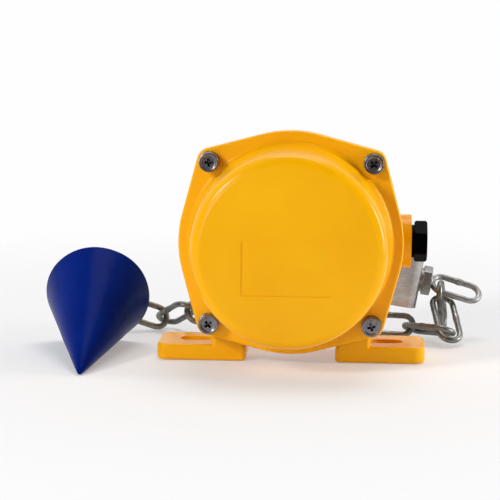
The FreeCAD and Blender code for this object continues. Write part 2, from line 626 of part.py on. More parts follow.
# Chain links. A link lies in the end of the one before it, where the pull of both takes it.
def hooked(before, a, w, half_w):
    pc, pa, pw = before
    side = pa.cross(pw)
    own_side = a.cross(w)
    there = (a - side * a.dot(side)).normalize()
    own = (pa - own_side * pa.dot(own_side)).normalize()
    crossing = pc + pa * (HALF_L - HALF_W) + there * HALF_W - (there + own).normalize() * 2 * CROSS
    return crossing + (own - a) * half_w


link = loop(HALF_L, HALF_W, WIRE)
last = (eye_c, eye_a, eye_w)
for k, (heading, rise, roll) in enumerate(LINKS):
    a, w = frame(heading, rise, roll)
    pc, pa, pw = last
    if k == 0:
        start = pc - pw * HALF_W + pa * HANG - a * (2 * CROSS + FIRST_SLACK)
    elif k == 1:
        start = pc + pa * (HALF_L - CROSS - SECOND_UP) - a * (CROSS + SECOND_SLACK)
    elif k == 2:
        start = pc + pa * (HALF_L - HALF_W - THIRD_UP) - pw * HALF_W - a * (2 * CROSS + THIRD_SLACK)
    else:
        start = hooked(last, a, w, HALF_W)
    last = (start + a * HALF_L, a, w)
    save("chain_link_%02d" % (k + 1), place(link, *last))

# The last link, turned up step by step until it meets the eye of the cone on the ground
slope = math.atan2(CONE_R, CONE_H)
h = math.radians(CONE_TURN)
axis = V(math.cos(h) * math.cos(slope), math.sin(h) * math.cos(slope), math.sin(slope))
upright = V(math.sin(h), -math.cos(h), 0).cross(axis)
eye_z = CONE_REST + axis.z * (CONE_H + CONE_EYE_OUT)
climb = 30.0
for step in range(8):
    a, w = frame(LAST_HEADING, climb, LAST_ROLL)
    end_link = (hooked(last, a, w, HALF_W) + a * HALF_L, a, w)
    eye_end = hooked(end_link, -axis, upright, CONE_EYE_W)
    climb = climb + math.degrees((eye_z - eye_end.z) / (2 * HALF_L))
save("chain_link_%02d" % (len(LINKS) + 1), place(link, *end_link))

# Cone lying on its side, closed by a plate that carries a welded eye
base = eye_end - axis * CONE_EYE_OUT
tip = base - axis * CONE_H
grow = CONE_R / CONE_H
shell = Part.makeCone(CONE_TIP_CUT * grow, CONE_R, CONE_H - CONE_TIP_CUT, tip + axis * CONE_TIP_CUT, axis)
skin = CONE_WALL / math.cos(slope)
inner_tip = skin / grow
shell = shell.cut(Part.makeCone(0.0, (CONE_H + 1.0 - inner_tip) * grow, CONE_H + 1.0 - inner_tip,
                                tip + axis * inner_tip, axis))
save("cone", shell)
plate_r = (CONE_H - BASE_T - inner_tip) * grow - FIT
save("cone_base", cyl(plate_r, base - axis * BASE_T, axis, BASE_T))
bend = Part.makeTorus(CONE_EYE_W, WIRE / 2.0, V(0, 0, 0), Z, 0, 360, 180)
bend.rotate(V(0, 0, 0), Z, -90)
run = CONE_EYE_OUT - CONE_EYE_W
bend.translate(V(run, 0, 0))
legs = [cyl(WIRE / 2.0, V(0, y, 0), X, run) for y in (CONE_EYE_W, -CONE_EYE_W)]
u_eye = fuse(bend, *legs)
save("cone_eye", place(u_eye, base, axis, upright))

# Stop collar with its finger, rising cams and their locking screws
collar = fuse(cyl(SHAFT_R + 4.0, shaft_at + Y * COLLAR_FRONT, Y, COLLAR_BACK - COLLAR_FRONT),
              box(-FINGER_W / 2.0, FINGER_W / 2.0, COLLAR_FRONT, COLLAR_BACK,
                  SHAFT_Z - STOP_R - 3.0, SHAFT_Z - SHAFT_R - 1.0))
collar = collar.cut(cyl(SHAFT_R + FIT, shaft_at + Y * (COLLAR_FRONT - 1.0), Y,
                        COLLAR_BACK - COLLAR_FRONT + 2.0))


def cam(y):
    # the radius grows evenly from the top of the cam towards +X
    points = []
    for k in range(-4, 13):
        turn = k * 2.5
        t = math.radians(turn)
        r = CAM_R + LIFT * turn / TRAVEL
        points.append(V(r * math.sin(t), y, SHAFT_Z + r * math.cos(t)))
    crest = Part.BSplineCurve()
    crest.interpolate(points)
    ends = [points[-1], points[0]]
    low = V(0, y, SHAFT_Z - SHAFT_R - 4.0)
    side_r = SHAFT_R + 4.0
    rim = Part.Arc(V(side_r, y, SHAFT_Z), low, V(-side_r, y, SHAFT_Z)).toShape()
    wire = Part.Wire([crest.toShape(), Part.LineSegment(ends[0], V(side_r, y, SHAFT_Z)).toShape(), rim,
                      Part.LineSegment(V(-side_r, y, SHAFT_Z), ends[1]).toShape()])
    body = Part.Face(wire).extrude(Y * CAM_T)
    return body.cut(cyl(SHAFT_R + FIT, V(0, y - 1.0, SHAFT_Z), Y, CAM_T + 2.0))


FRONT_CAM_Y = REAR_CAM_Y - SWITCH[1] - SWITCH_GAP
cams = [cam(REAR_CAM_Y - CAM_T / 2.0), cam(FRONT_CAM_Y - CAM_T / 2.0)]
GRUB_R = 1.5
grubs = []
locked = []
collar_y = (COLLAR_FRONT + COLLAR_BACK) / 2.0
for body, y, way in ((collar, collar_y, X), (cams[0], REAR_CAM_Y, -Z), (cams[1], FRONT_CAM_Y, -Z)):
    start = V(0, y, SHAFT_Z) + way * (SHAFT_R + 0.05)
    locked.append(body.cut(cyl(GRUB_R + FIT, V(0, y, SHAFT_Z) + way * (SHAFT_R - 1.0), way, 8.0)))
    grubs.append(cyl(GRUB_R, start, way, 3.6))
collar, cams[0], cams[1] = locked
save("cam_rear", cams[0])
save("cam_front", cams[1])
save("grub_screws", *grubs)

# Return spring: coils round the shaft, one leg in the collar and one on the post
coil = Part.makeHelix(COIL_PITCH, COIL_PITCH * COIL_TURNS, COIL_R)
section = Part.Wire([Part.makeCircle(COIL_WIRE, V(COIL_R, 0, 0), Y)])
spring = Part.Wire(coil.Edges).makePipeShell([section], True, True)
spring.rotate(V(0, 0, 0), X, -90)
spring.rotate(V(0, 0, 0), Y, 90)
spring.translate(V(0, COIL_FRONT + COIL_WIRE, SHAFT_Z))
fixed = V(0, COIL_FRONT + COIL_WIRE, SHAFT_Z - COIL_R)
moving = fixed + Y * (COIL_PITCH * COIL_TURNS)
leg_in = cyl(COIL_WIRE, moving, Y, COLLAR_FRONT + 3.0 - moving.y)
leg_out = cyl(COIL_WIRE, fixed, -X, LEG + POST_R + 1.0)
knuckles = [Part.makeSphere(COIL_WIRE, p) for p in (fixed, moving)]
spring = fuse(spring, leg_in, leg_out, *knuckles)
save("return_spring", spring)
collar = collar.cut(cyl(COIL_WIRE + 0.1, V(moving.x, COLLAR_FRONT - 1.0, moving.z), Y, 5.0))
save("stop_collar", collar)

# Switch plate on the pillars
plate = box(-20.0, 28.0, SWITCH_BACK, PLATE_BACK, SWITCH_Z - 1.0, SWITCH_Z + 28.0)
plate = plate.makeFillet(3.0, edges_at(plate, lambda e: e.BoundBox.YLength > 1.0))
plate_screws = []
for x, z in pillars:
    plate = plate.cut(cyl(2.2, V(x, SWITCH_BACK - 1.0, z), Y, PLATE_T + 2.0))
    screw = fuse(cyl(3.4, V(x, SWITCH_BACK - 2.6, z), Y, 2.6),
                 cyl(2.0 - FIT, V(x, SWITCH_BACK, z), Y, PLATE_T + 10.0))
    slit = box(x - 4.0, x + 4.0, SWITCH_BACK - 3.0, SWITCH_BACK - 1.4, z - 0.5, z + 0.5)
    plate_screws.append(screw.cut(slit))

# Snap switches with their plungers, blades and through screws
holes = [(-SWITCH_LEFT + 2.8, SWITCH_Z + 2.9), (-SWITCH_LEFT + 25.0, SWITCH_Z + 13.2)]
front_y = FRONT_CAM_Y - SWITCH[1] / 2.0
for name, y in (("rear", REAR_CAM_Y), ("front", FRONT_CAM_Y)):
    y0 = y - SWITCH[1] / 2.0
    body = box(-SWITCH_LEFT, SWITCH[0] - SWITCH_LEFT, y0, y0 + SWITCH[1], SWITCH_Z, SWITCH_Z + SWITCH[2])
    body = body.makeFillet(0.8, edges_at(body, lambda e: e.BoundBox.YLength > 1.0))
    blades = []
    for x in (-6.0, 4.0, 14.0):
        top = SWITCH_Z + SWITCH[2]
        blades.append(box(x - 2.4, x + 2.4, y - 0.3, y + 0.3, top - 1.0, top + 7.0))
    body = fuse(body, *blades)
    body = body.cut(cyl(PLUNGER_R + RUN, V(0, y, SWITCH_Z - 1.0), Z, PLUNGER_LEN + LIFT))
    for x, z in holes:
        body = body.cut(cyl(1.6, V(x, y0 - 1.0, z), Y, SWITCH[1] + 2.0))
    save("switch_" + name, body)
    foot = SHAFT_Z + CAM_R + TIP_GAP
    plunger = cyl(PLUNGER_R, V(0, y, foot), Z, PLUNGER_LEN)
    plunger = plunger.makeFillet(PLUNGER_R - 0.05, edges_at(plunger, lambda e: e.BoundBox.ZMax < foot + 0.01))
    save("plunger_" + name, plunger)
through = []
nuts = []
for x, z in holes:
    plate = plate.cut(cyl(1.6, V(x, SWITCH_BACK - 1.0, z), Y, PLATE_T + 2.0))
    rod = fuse(cyl(2.7, V(x, front_y - 2.0, z), Y, 2.0),
               cyl(1.45, V(x, front_y, z), Y, PLATE_BACK + 3.0 - front_y))
    through.append(rod.cut(box(x - 3.0, x + 3.0, front_y - 3.0, front_y - 1.0, z - 0.4, z + 0.4)))
    nuts.append(hex_nut(5.5, 1.45 + FIT, V(x, PLATE_BACK, z), Y, X, 2.4))
save("switch_plate", plate)
save("plate_screws", *plate_screws)
save("switch_screws", *through)
save("switch_nuts", *nuts)


def lead(points, bend_r, r):
    # tube along straight runs joined by tangent arcs
    edges = []
    last = points[0]
    for k in range(1, len(points) - 1):
        p = points[k]
        back = (points[k - 1] - p).normalize()
        on = (points[k + 1] - p).normalize()
        turn = math.pi - back.getAngle(on)
        cut = bend_r * math.tan(turn / 2.0)
        mid = (back + on).normalize()
        centre = p + mid * (bend_r / math.cos(turn / 2.0))
        edges.append(Part.LineSegment(last, p + back * cut).toShape())
        edges.append(Part.Arc(p + back * cut, centre - mid * bend_r, p + on * cut).toShape())
        last = p + on * cut
    edges.append(Part.LineSegment(last, points[-1]).toShape())
    path = Part.Wire(edges)
    way = points[1] - points[0]
    profile = Part.Wire([Part.makeCircle(r, points[0], way)])
    return path.makePipeShell([profile], True, False)


leads = []
for k in range(4):
    y = (FRONT_CAM_Y, REAR_CAM_Y)[k % 2]
    x = (-6.0, -6.0, 14.0, 14.0)[k]
    end_x = -10.5 + 7.0 * k
    top = SWITCH_Z + SWITCH[2] + 7.0
    clamp_z = BLOCK_Z + BLOCK[2] - 3.2
    leads.append(lead([V(x, y, top), V(x, y, clamp_z), V(end_x, block_y, clamp_z)], 4.0, 1.1))
save("switch_leads", *leads)
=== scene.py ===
# %% [markdown]
# # Material flow switch
# A cast yellow switch housing stands on two slotted feet.  A bent stainless arm leaves it at the
# back, and a galvanised chain runs from the arm's eye bolt behind the housing to a blue cone.
# The measured frame comes first: every body of the real mechanism is already in its place, so
# what is modelled here only has to look right there.

# %% Load the frame
import json
import math

import bpy
import numpy as np
from mathutils import Matrix, Vector


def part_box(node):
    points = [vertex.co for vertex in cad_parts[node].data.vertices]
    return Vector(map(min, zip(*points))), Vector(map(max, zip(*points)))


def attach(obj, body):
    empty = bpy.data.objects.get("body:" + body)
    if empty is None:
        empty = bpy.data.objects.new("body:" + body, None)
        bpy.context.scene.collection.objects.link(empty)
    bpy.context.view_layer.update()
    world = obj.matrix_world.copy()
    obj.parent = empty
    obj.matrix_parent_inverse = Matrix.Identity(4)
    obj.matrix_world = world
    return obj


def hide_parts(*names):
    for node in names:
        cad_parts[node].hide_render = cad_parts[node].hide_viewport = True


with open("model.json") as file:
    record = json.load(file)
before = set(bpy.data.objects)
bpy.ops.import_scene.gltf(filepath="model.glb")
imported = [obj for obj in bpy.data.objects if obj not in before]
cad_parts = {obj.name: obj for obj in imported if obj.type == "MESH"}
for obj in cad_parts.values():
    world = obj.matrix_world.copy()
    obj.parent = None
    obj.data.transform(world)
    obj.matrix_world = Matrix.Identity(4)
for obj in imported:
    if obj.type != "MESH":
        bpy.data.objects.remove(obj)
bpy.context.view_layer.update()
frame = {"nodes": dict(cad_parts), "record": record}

MM = 0.001
record = frame["record"]
nodes = frame["nodes"]
slot_of = {part["node"]: part["material_slot"] for part in record["subparts"]}
body_of = {}
for body, group in record["behaviour"]["bodies"].items():
    for node in group:
        body_of[node] = body

# %% [markdown]
# ## Camera
# The picture was taken from the front with a long lens, a little above the cover and turned a few
# degrees.  An empty to aim at would fix two of the angles and leave the roll to chance.  A
# camera's own axes are right, up and backwards, so its matrix is put together from three angles,
# which were fitted to the round cover, its screws and the feet.

# %% Camera at the photograph's angle
CAMERA_AT = Vector((34.99, -1015.92, 213.59)) * MM
YAW = 0.05604
PITCH = 0.15429
ROLL = 0.00689
FOCAL_MM = 142.96
SENSOR_MM = 36.0
NEAREST = 0.05
FARTHEST = 100.0


def turned(x_way, y_way, z_way):
    return Matrix((x_way, y_way, z_way)).transposed().to_4x4()


bpy.ops.object.select_all(action="DESELECT")
bpy.ops.object.camera_add(location=CAMERA_AT)
camera = bpy.context.object
camera.name = "camera"
forward = Vector((
    -math.sin(YAW) * math.cos(PITCH),
    math.cos(YAW) * math.cos(PITCH),
    -math.sin(PITCH),
))
level = Vector((math.cos(YAW), math.sin(YAW), 0.0))
upright = level.cross(forward)
right = level * math.cos(ROLL) + upright * math.sin(ROLL)
up = upright * math.cos(ROLL) - level * math.sin(ROLL)
camera.matrix_world = Matrix.Translation(CAMERA_AT) @ turned(right, up, -forward)
camera.data.sensor_width = SENSOR_MM
camera.data.lens = FOCAL_MM
camera.data.clip_start = NEAREST
camera.data.clip_end = FARTHEST
bpy.context.scene.camera = camera
bpy.context.scene.view_settings.view_transform = "Standard"
print("camera looks along", [round(v, 3) for v in forward])

# %% [markdown]
# ## Finishes
# Each finish starts from what the real surface is, and is drawn by nodes, because a picture of it
# would need an unwrapped map on every piece.  `linear` turns a paint colour from the picture's
# sRGB scale into the linear scale that the shader counts in, and `scale_of` turns the size of a
# pattern into the number that a texture wants.  `add` makes any node with its settings and its
# links, `new_finish` starts a material with its constant values, and `join` links two sockets.

# %% Helpers for finishes
FINISH = {}


def linear(hex_colour):
    channels = [int(hex_colour[i:i + 2], 16) / 255.0 for i in (1, 3, 5)]
    straight = [c / 12.92 if c <= 0.04045 else ((c + 0.055) / 1.055) ** 2.4 for c in channels]
    return (*straight, 1.0)


def scale_of(size_mm):
    return 1.0 / (size_mm * MM)


def add(finish, kind, inputs=None, **settings):
    made = finish.node_tree.nodes.new(kind)
    for key, value in settings.items():
        setattr(made, key, value)
    for socket, value in (inputs or {}).items():
        if isinstance(value, bpy.types.NodeSocket):
            finish.node_tree.links.new(value, made.inputs[socket])
        else:
            made.inputs[socket].default_value = value
    return made


def new_finish(name, **sockets):
    finish = bpy.data.materials.new(name)
    finish.use_nodes = True
    shader = finish.node_tree.nodes["Principled BSDF"]
    for socket, value in sockets.items():
        shader.inputs[socket.replace("_", " ")].default_value = value
    place = add(finish, "ShaderNodeTexCoord").outputs["Object"]
    return finish, shader, place


def join(finish, value, socket):
    finish.node_tree.links.new(value, socket)


print("a middle grey is", round(linear("#808080")[0], 3), "to the shader")

# %% [markdown]
# ### Yellow enamel on cast aluminium
# The housing and the cover are sand-smooth castings under a thick stoved enamel.  The enamel
# flows a little before it hardens, which leaves a soft orange-peel waviness about 2.5 mm from
# crest to crest, and a few specks of dust under the film.  To the eye that gives highlights with
# soft, slightly broken edges.  The peel is a low bump, the colour and the gloss drift by a few
# percent over the casting, and the specks are the middles of a few Voronoi cells.

# %% Yellow enamel
PEEL_MM = 2.5
PEEL_DEEP_MM = 0.25
PEEL_STRENGTH = 0.10
DRIFT_MM = 45.0
ENAMEL_HUES = ((0.3, "#FAB000"), (0.7, "#FFBA00"))
ENAMEL_ROUGH = (0.17, 0.27)
SPECK_MM = 16.0
SPECK_EDGE = (0.018, 0.03)
SPECK_ABOVE = 0.72
SPECK_HUE = "#B47A08"

enamel, shader, place = new_finish("yellow_enamel", Specular_IOR_Level=0.2)
drift = add(enamel, "ShaderNodeTexNoise", {
    "Vector": place, "Scale": scale_of(DRIFT_MM), "Detail": 3.0})
hue = add(enamel, "ShaderNodeValToRGB", {"Fac": drift.outputs["Fac"]})
for stop, (at, colour) in zip(hue.color_ramp.elements, ENAMEL_HUES):
    stop.position = at
    stop.color = linear(colour)
cells = add(enamel, "ShaderNodeTexVoronoi", {"Vector": place, "Scale": scale_of(SPECK_MM)})
near = add(enamel, "ShaderNodeMapRange", {
    "Value": cells.outputs["Distance"], "From Min": SPECK_EDGE[0], "From Max": SPECK_EDGE[1],
    "To Min": 1.0, "To Max": 0.0})
chosen = add(enamel, "ShaderNodeSeparateColor", {"Color": cells.outputs["Color"]})
some = add(enamel, "ShaderNodeMath", {
    0: chosen.outputs["Red"], 1: SPECK_ABOVE}, operation="GREATER_THAN")
speck = add(enamel, "ShaderNodeMath", {
    0: near.outputs["Result"], 1: some.outputs["Value"]}, operation="MULTIPLY")
tint = add(enamel, "ShaderNodeMix", {
    "Factor": speck.outputs["Value"], "A": hue.outputs["Color"], "B": linear(SPECK_HUE)},
    data_type="RGBA")
join(enamel, tint.outputs["Result"], shader.inputs["Base Color"])
peel = add(enamel, "ShaderNodeTexNoise", {
    "Vector": place, "Scale": scale_of(PEEL_MM), "Detail": 1.5})
swell = add(enamel, "ShaderNodeBump", {
    "Height": peel.outputs["Fac"], "Strength": PEEL_STRENGTH, "Distance": PEEL_DEEP_MM * MM})
join(enamel, swell.outputs["Normal"], shader.inputs["Normal"])
gloss = add(enamel, "ShaderNodeMapRange", {
    "Value": drift.outputs["Fac"], "To Min": ENAMEL_ROUGH[0], "To Max": ENAMEL_ROUGH[1]})
join(enamel, gloss.outputs["Result"], shader.inputs["Roughness"])
FINISH["yellow_paint"] = enamel
print(enamel.name, len(enamel.node_tree.nodes), "nodes")

# %% [markdown]
# ### Blue paint on sheet steel
# The cone is brushed with gloss paint, which shows as fine lanes of lighter and darker blue and
# a highlight that is drawn out along them.  Brush strokes run from the tip to the rim.  Object
# coordinates would lay them straight across the cone, so the streaks follow the piece's own UV
# map, made when the cone is spun: U goes round and V goes up the slope.

# %% Blue brushed paint
STROKES_ROUND = 90.0
STROKES_UP = 2.2
CLOUD_MM = 22.0
CLOUD_SHARE = 0.45
BLUE_HUES = ((0.3, "#001664"), (0.72, "#002684"))
BLUE_ROUGH = (0.22, 0.36)
STROKE_DEEP_MM = 0.15
STROKE_STRENGTH = 0.16

blue, shader, place = new_finish("blue_brushed_paint", Specular_IOR_Level=0.02)
lane = add(blue, "ShaderNodeTexCoord").outputs["UV"]
drawn = add(blue, "ShaderNodeMapping", {"Vector": lane, "Scale": (STROKES_ROUND, STROKES_UP, 1.0)})
streak = add(blue, "ShaderNodeTexNoise", {
    "Vector": drawn.outputs["Vector"], "Scale": 1.0, "Detail": 4.0})
cloud = add(blue, "ShaderNodeTexNoise", {
    "Vector": place, "Scale": scale_of(CLOUD_MM), "Detail": 3.0})
both = add(blue, "ShaderNodeMix", {
    "Factor": CLOUD_SHARE, "A": streak.outputs["Fac"], "B": cloud.outputs["Fac"]})
shade = add(blue, "ShaderNodeValToRGB", {"Fac": both.outputs["Result"]})
for stop, (at, colour) in zip(shade.color_ramp.elements, BLUE_HUES):
    stop.position = at
    stop.color = linear(colour)
join(blue, shade.outputs["Color"], shader.inputs["Base Color"])
ridge = add(blue, "ShaderNodeBump", {
    "Height": streak.outputs["Fac"], "Strength": STROKE_STRENGTH, "Distance": STROKE_DEEP_MM * MM})
join(blue, ridge.outputs["Normal"], shader.inputs["Normal"])
sheen = add(blue, "ShaderNodeMapRange", {
    "Value": cloud.outputs["Fac"], "To Min": BLUE_ROUGH[0], "To Max": BLUE_ROUGH[1]})
join(blue, sheen.outputs["Result"], shader.inputs["Roughness"])
FINISH["blue_paint"] = blue
print(blue.name, len(blue.node_tree.nodes), "nodes")

# %% [markdown]
# ### Metals
# A metal's colour is its reflection, so each one is told apart by how its skin was made.  The arm
# is cut from brushed stainless strip: its scratches, drawn 0.25 mm apart so that they show, run
# along the arm, which hangs nine degrees below the level.  The chain is hot-dipped, with lumps of
# zinc about 1.6 mm across.  The eye bolt is dull zinc plate, the screws are bright, and the inner
# steel is oiled.  Stains 9 mm wide lie over all of them, and a paler place is also a smoother one.

# %% Metals
ARM_DROOP = math.radians(9.0)
SCRATCH_MM = 0.25
STAIN_MM = 9.0
STAIN_SHARE = 0.5
GRAIN_DEEP_MM = 0.1
METAL_STOPS = (0.32, 0.68)
ROUGH_SPAN = (0.3, 0.7)
ROUGH_SWING = 0.08


def metal(name, dark, pale, rough, grain_mm, bump, stretch):
    finish, bsdf, where = new_finish(name, Metallic=1.0)
    laid = add(finish, "ShaderNodeMapping", {
        "Vector": where, "Rotation": (0.0, ARM_DROOP, 0.0), "Scale": (stretch, stretch, 1.0)})
    grain = add(finish, "ShaderNodeTexNoise", {
        "Vector": laid.outputs["Vector"], "Scale": scale_of(grain_mm),
        "Detail": 3.0, "Roughness": 0.6})
    stain = add(finish, "ShaderNodeTexNoise", {
        "Vector": where, "Scale": scale_of(STAIN_MM), "Detail": 4.0})
    mixed = add(finish, "ShaderNodeMix", {
        "Factor": STAIN_SHARE, "A": grain.outputs["Fac"], "B": stain.outputs["Fac"]})
    ramp = add(finish, "ShaderNodeValToRGB", {"Fac": mixed.outputs["Result"]})
    for stop, at, colour in zip(ramp.color_ramp.elements, METAL_STOPS, (dark, pale)):
        stop.position = at
        stop.color = linear(colour)
    join(finish, ramp.outputs["Color"], bsdf.inputs["Base Color"])
    span = add(finish, "ShaderNodeMapRange", {
        "Value": mixed.outputs["Result"], "From Min": ROUGH_SPAN[0], "From Max": ROUGH_SPAN[1],
        "To Min": rough + ROUGH_SWING, "To Max": rough - ROUGH_SWING})
    join(finish, span.outputs["Result"], bsdf.inputs["Roughness"])
    relief = add(finish, "ShaderNodeBump", {
        "Height": grain.outputs["Fac"], "Strength": bump, "Distance": GRAIN_DEEP_MM * MM})
    join(finish, relief.outputs["Normal"], bsdf.inputs["Normal"])
    return finish


# slot, finish, dark and pale colour, roughness, grain in mm, bump, stretch along the strip
METALS = [
    ("stainless", "brushed_stainless_strip", "#9A948F", "#CCC7C2", 0.24, SCRATCH_MM, 0.10, 0.03),
    ("galvanised", "hot_dipped_zinc", "#5C5C59", "#96958F", 0.38, 1.6, 0.35, 1.0),
    ("eye_steel", "dull_zinc_plate", "#7C7A78", "#B0AEAB", 0.44, 1.2, 0.30, 1.0),
    ("zinc_steel", "bright_zinc_plate", "#625E63", "#A09CA0", 0.26, 0.8, 0.10, 1.0),
    ("spring_steel", "oiled_spring_steel", "#4E4D4B", "#74726E", 0.34, 0.8, 0.15, 1.0),
    ("brass", "turned_brass", "#A98441", "#CBA65C", 0.30, 0.6, 0.10, 1.0),
]
for slot, *look in METALS:
    FINISH[slot] = metal(*look)
print("metals:", [row[1] for row in METALS])

# %% [markdown]
# ### Plastics and rubber
# The gland screw is moulded black polyamide with a fine spark-eroded grain, which keeps its
# highlight dull.  Inside are black switch cases, a grey terminal block, red plungers, the blue
# insulation of the leads and rubber seals.  They differ in colour and gloss only, so one recipe
# with a grain for the tint and the relief does for all of them.

# %% Moulded plastics
MOULD_DEEP_MM = 0.1
TINT_SWING = (0.85, 1.15)


def moulded(name, colour, rough, grain_mm, bump):
    finish, bsdf, where = new_finish(name, Roughness=rough, Specular_IOR_Level=0.02)
    cast = add(finish, "ShaderNodeTexNoise", {
        "Vector": where, "Scale": scale_of(grain_mm), "Detail": 2.0})
    ramp = add(finish, "ShaderNodeValToRGB", {"Fac": cast.outputs["Fac"]})
    for stop, swing in zip(ramp.color_ramp.elements, TINT_SWING):
        stop.color = [min(1.0, c * swing) for c in linear(colour)[:3]] + [1.0]
    join(finish, ramp.outputs["Color"], bsdf.inputs["Base Color"])
    relief = add(finish, "ShaderNodeBump", {
        "Height": cast.outputs["Fac"], "Strength": bump, "Distance": MOULD_DEEP_MM * MM})
    join(finish, relief.outputs["Normal"], bsdf.inputs["Normal"])
    return finish


# slot, finish, colour, roughness, grain in mm, bump
PLASTICS = [
    ("black_plastic", "black_polyamide", "#030304", 0.34, 0.9, 0.15),
    ("rubber", "black_rubber", "#171615", 0.70, 1.2, 0.20),
    ("grey_plastic", "grey_phenolic", "#8F8E88", 0.45, 1.0, 0.10),
    ("red_plastic", "red_acetal", "#B4231B", 0.30, 1.0, 0.05),
    ("lead_insulation", "blue_lead_insulation", "#28408E", 0.45, 1.0, 0.08),
]
for slot, *look in PLASTICS:
    FINISH[slot] = moulded(*look)
print("plastics:", [row[1] for row in PLASTICS])

# %% [markdown]
# Every measured piece gets the finish that its slot in the record names.  The ones that are
# remodelled below pass theirs on.

# %% Finishes on the measured pieces
for node, piece in nodes.items():
    piece.data.materials.clear()
    piece.data.materials.append(FINISH[slot_of[node]])
print("finishes:", sorted(FINISH))

# %% [markdown]
# ## Softened castings and cut parts
# A real casting has no knife edge, and a sawn bar has its burrs taken off.  The measured meshes
# are sharp.  Modelling them again would risk their fit, so a copy of each outer piece is merged
# into one skin, its flat faces are dissolved back into whole faces, and a bevel rounds every edge
# that is left.  Smooth shading would then bend the light over the wide flat faces too, so the
# normals are weighted by area to keep those flat.

# %% Helpers for pieces


def only(piece):
    bpy.ops.object.select_all(action="DESELECT")
    piece.select_set(True)
    bpy.context.view_layer.objects.active = piece


def apply_modifier(piece, kind, **settings):
    only(piece)
    modifier = piece.modifiers.new(kind.lower(), kind)
    for key, value in settings.items():
        setattr(modifier, key, value)
    bpy.ops.object.modifier_apply(modifier=modifier.name)


def cut_out(piece, cutter):
    apply_modifier(piece, "BOOLEAN", operation="DIFFERENCE", solver="EXACT", object=cutter)
    bpy.data.objects.remove(cutter)


def pick(piece, kind, test):
    bpy.ops.object.mode_set(mode="EDIT")
    bpy.ops.mesh.select_mode(type=kind)
    bpy.ops.mesh.select_all(action="DESELECT")
    bpy.ops.object.mode_set(mode="OBJECT")
    members = {"VERT": piece.data.vertices, "EDGE": piece.data.edges, "FACE": piece.data.polygons}
    for member in members[kind]:
        member.select = test(member)
    bpy.ops.object.mode_set(mode="EDIT")


def take_over(piece, node):
    piece.data.materials.clear()
    piece.data.materials.append(FINISH[slot_of[node]])
    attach(piece, body_of[node])
    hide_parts(node)
    print(piece.name, "stands for", node, "with", len(piece.data.polygons), "faces")


# %% [markdown]
# The rounding is one helper, because six pieces need it.  An edge counts as sharp from forty
# degrees on, so the facets of round walls stay as they are.

# %% Rounding helper
MERGE_MM = 0.002
FLAT = math.radians(0.5)
SHARP = math.radians(40.0)
SMOOTH = math.radians(32.0)


def softened(node, name, width_mm, cutter=None):
    piece = nodes[node].copy()
    piece.data = nodes[node].data.copy()
    piece.name = name
    piece.data.name = name
    piece.parent = None
    for key in list(piece.keys()):
        del piece[key]
    bpy.context.scene.collection.objects.link(piece)
    only(piece)
    bpy.ops.mesh.customdata_custom_splitnormals_clear()
    bpy.ops.object.mode_set(mode="EDIT")
    bpy.ops.mesh.select_all(action="SELECT")
    bpy.ops.mesh.remove_doubles(threshold=MERGE_MM * MM)
    bpy.ops.mesh.dissolve_limited(angle_limit=FLAT)
    bpy.ops.object.mode_set(mode="OBJECT")
    apply_modifier(piece, "BEVEL", width=width_mm * MM, segments=2,
                   limit_method="ANGLE", angle_limit=SHARP)
    if cutter:
        cut_out(piece, cutter)
    bpy.ops.object.shade_smooth_by_angle(angle=SMOOTH)
    apply_modifier(piece, "WEIGHTED_NORMAL", keep_sharp=True)
    take_over(piece, node)


# %% [markdown]
# The cover has a shallow field for a plate.  Its edge is crisp in the real casting, because the
# enamel is thin there, so the field is cut once more after the rounding, a hair wider and deeper.
# The cutter is a flat block with its four corners rounded, as the field has them.

# %% Cutter for the plate field
FIELD_MM = (44.6, 27.3)
FIELD_AT_MM = (-0.8, 55.4)
FIELD_DEEP_MM = 0.5
FIELD_CORNER_MM = 1.0
CORNER_STEPS = 4

face_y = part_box("cover")[0].y
bpy.ops.object.select_all(action="DESELECT")
bpy.ops.mesh.primitive_cube_add(
    size=1.0, location=(FIELD_AT_MM[0] * MM, face_y, FIELD_AT_MM[1] * MM))
field = bpy.context.object
field.name = "field_cutter"
field.scale = (FIELD_MM[0] * MM, 2 * FIELD_DEEP_MM * MM, FIELD_MM[1] * MM)
bpy.ops.object.transform_apply(location=True, scale=True)


def is_corner(edge):
    start, end = (field.data.vertices[i].co for i in edge.vertices)
    return abs(start.y - end.y) > FIELD_DEEP_MM * MM


pick(field, "EDGE", is_corner)
bpy.ops.mesh.bevel(offset=FIELD_CORNER_MM * MM, segments=CORNER_STEPS)
bpy.ops.object.mode_set(mode="OBJECT")
print("plate field:", [round(v / MM, 2) for v in field.dimensions])

# %% [markdown]
# The housing has the widest rounding.  The moulded gland screw and the cover have a little less,
# and the arm, which was sawn and dressed, has the least.

# %% Castings, gland screw and arm
softened("housing", "housing_casting", width_mm=0.7)
softened("cover", "cover_casting", width_mm=0.5, cutter=field)
softened("gland_nut", "gland_screw", width_mm=0.6)
softened("arm", "swing_arm", width_mm=0.45)

# %% [markdown]
# ## Chain
# A link is one wire bent into a loop and butt-welded in one side bar.  A curve with a round bevel
# would give a loop too, but not the weld, so one loop is built step by step: a circle of wire is
# spun round one end, drawn along a bar, spun round the other end and drawn back.  The wire is
# drawn a hair thin, because the zinc's lumps stand out from it again.  The weld is a short piece
# of the bar that is swollen a little.

# %% Loop of wire
WIRE_MM = 3.5
WIRE_SIDES = 20
ZINC_LUMP_MM = 0.2
LOOP_HALF_W_MM = 5.65
BAR_STEPS = 16
END_STEPS = 14
JOIN_MM = 0.01
WELD_HALF_MM = 1.6


